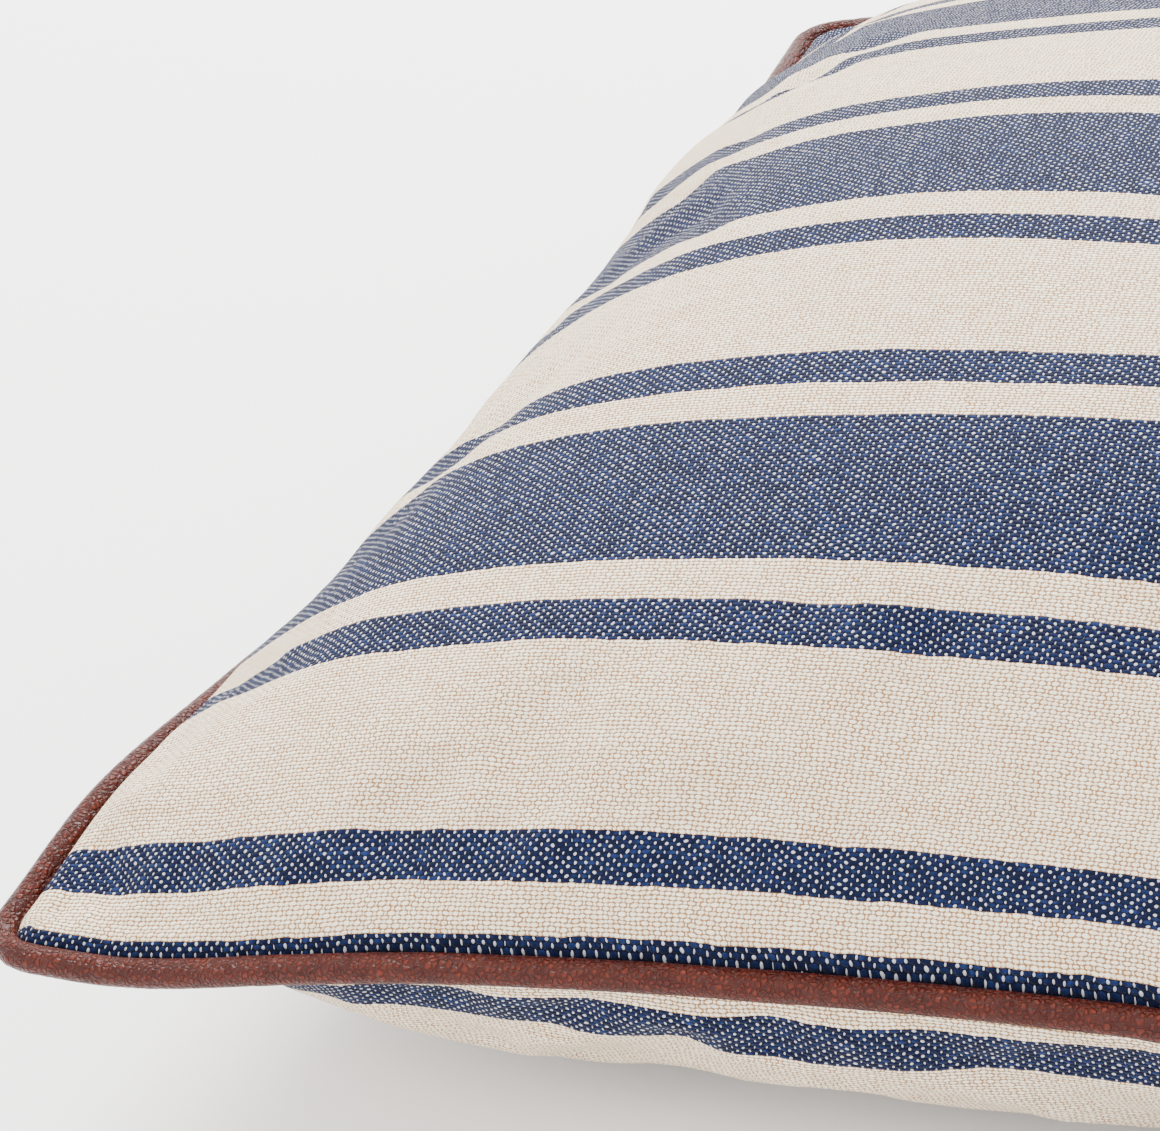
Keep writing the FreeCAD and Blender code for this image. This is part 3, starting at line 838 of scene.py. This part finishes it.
def filler_cord():
    """Three-strand cotton cord inside the leather."""
    line, out, s = seam_line()
    angles = np.linspace(0, 2 * math.pi, 18, endpoint=False)
    radius = CORD_R * (0.93 + 0.07 * np.abs(np.cos(1.5 * (angles[None, :] - s[:, None] / (3.2 * MM)))))
    section = np.stack([PIPE_OUT + radius * np.cos(angles), radius * np.sin(angles)], -1)
    return sweep("filler_cord", line, out, section)


def stitch_line(name, up, gap=False):
    """Thread of the seam; with a gap, it stops at the zip's ends."""
    line, out, _ = seam_line()
    if gap:
        in_gap = (line[:, 1] > HALF - 30 * MM) & (np.abs(line[:, 0]) < STITCH_GAP)
        first = (np.flatnonzero(in_gap)[-1] + 1) % len(line)
        line, out, in_gap = (np.roll(part, -first, 0) for part in (line, out, in_gap))
        line, out = line[~in_gap], out[~in_gap]
    angles = np.linspace(0, 2 * math.pi, 8, endpoint=False)
    section = np.stack([THREAD_R * np.cos(angles) - STITCH_IN, THREAD_R * np.sin(angles) + up], -1)
    return sweep(name, line, out, section, not gap)


def insert_thread():
    """Thread that closes the insert."""
    line, out, _ = seam_line()
    line = line * np.array([CASING_OUTER[0], CASING_OUTER[0], 1.0])
    line[:, 2] = SEAM_Z
    angles = np.linspace(0, 2 * math.pi, 8, endpoint=False)
    section = np.stack([INSERT_THREAD_R * np.cos(angles) - INSERT_STITCH_IN,
                        INSERT_THREAD_R * np.sin(angles)], -1)
    return sweep("insert_thread", line, out, section)


# ---- zip ---------------------------------------------------------------------------------------


def coil_row(name, node, side):
    """One row of nylon coil, wound along the tape's edge, clear of the slider's post."""
    low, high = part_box(node)
    centre = (low + high) / 2
    ring = COIL_SIDES
    turns = int((high.x - low.x - 2 * COIL_WIRE) / COIL_PITCH)
    points = []
    count = turns * COIL_TURN_STEPS + 1
    for k in range(count):
        angle = 2 * math.pi * k / COIL_TURN_STEPS + (math.pi if side < 0 else 0.0)
        at = Vector((low.x + COIL_WIRE + COIL_PITCH * k / COIL_TURN_STEPS, centre.y, centre.z))
        at += ZIP_DOWN * math.cos(angle) * COIL_REACH + ZIP_OUT * math.sin(angle) * COIL_DEEP
        radial = ZIP_DOWN * math.cos(angle) * COIL_DEEP + ZIP_OUT * math.sin(angle) * COIL_REACH
        radial.normalize()
        for r in range(ring):
            turn = 2 * math.pi * r / ring
            round_wire = radial * COIL_WIRE * math.cos(turn) + Vector((1, 0, 0)) * COIL_WIRE * math.sin(turn)
            points.append(at + round_wire)
    faces = []
    for k in range(count - 1):
        for r in range(ring):
            m = (r + 1) % ring
            faces.append((k * ring + r, (k + 1) * ring + r, (k + 1) * ring + m, k * ring + m))
    faces.append(tuple(range(ring)))
    faces.append(tuple((count - 1) * ring + r for r in reversed(range(ring))))
    return mesh_object(name, points, faces)


# ---- assembly ----------------------------------------------------------------------------------

woven_front = woven_stripe("woven_stripe", FRONT_PHASE)
woven_back = woven_stripe("woven_stripe_back", BACK_PHASE)
leather = piping_leather()
cotton_cord = soft_cotton("cotton_cord", srgb(232, 224, 206), srgb(214, 204, 184))
thread = soft_cotton("sewing_thread", srgb(224, 214, 196), srgb(204, 192, 170))
tape = zip_tape()
nylon = coil_nylon()
metal = brushed_brass()
cotton = soft_cotton("insert_cotton", srgb(244, 244, 240), srgb(228, 228, 222))
fibre = soft_cotton("fibre_fill", srgb(248, 248, 246), srgb(236, 236, 232))
label = soft_cotton("label_cotton", srgb(244, 242, 236), srgb(230, 226, 216))

creases = settle()

PIECES = (
    (front_cloth(creases[0]), woven_front, "front_panel", "woven_stripe"),
    (back_cloth(creases[1]), woven_back, "back_panel", "woven_stripe"),
    (piping(), leather, "piping_leather", "piping_leather"),
    (filler_cord(), cotton_cord, "piping_cord", "cotton_cord"),
    (stitch_line("needle_thread", STITCH_UP), thread, "seam_thread_front", "sewing_thread"),
    (stitch_line("bobbin_thread", -STITCH_UP, True), thread, "seam_thread_back", "sewing_thread"),
    (coil_row("coil_row_upper", "zip_coil_front", -1), nylon, "zip_coil_front", "zip_coil"),
    (coil_row("coil_row_lower", "zip_coil_back", 1), nylon, "zip_coil_back", "zip_coil"),
    (insert_casing("insert_upper", 1), cotton, "insert_casing_front", "insert_cotton"),
    (insert_casing("insert_lower", -1), cotton, "insert_casing_back", "insert_cotton"),
    (insert_thread(), thread, "insert_seam_thread", "sewing_thread"),
    (fill_body(), fibre, "fill_core", "fibre_fill"),
)
for piece, look, node_name, slot in PIECES:
    piece.data.materials.append(look)
    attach(piece, "pillow")
    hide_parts(node_name)

for node_name, look in (
        ("zip_tape_front", tape), ("zip_tape_back", tape), ("care_label", label), ("zip_top_stops", metal),
        ("zip_bottom_stop", metal), ("zip_slider", metal), ("zip_pull", metal)):
    node_mesh = frame["nodes"][node_name].data
    node_mesh.materials.clear()
    node_mesh.materials.append(look)

add_studio()
add_camera()
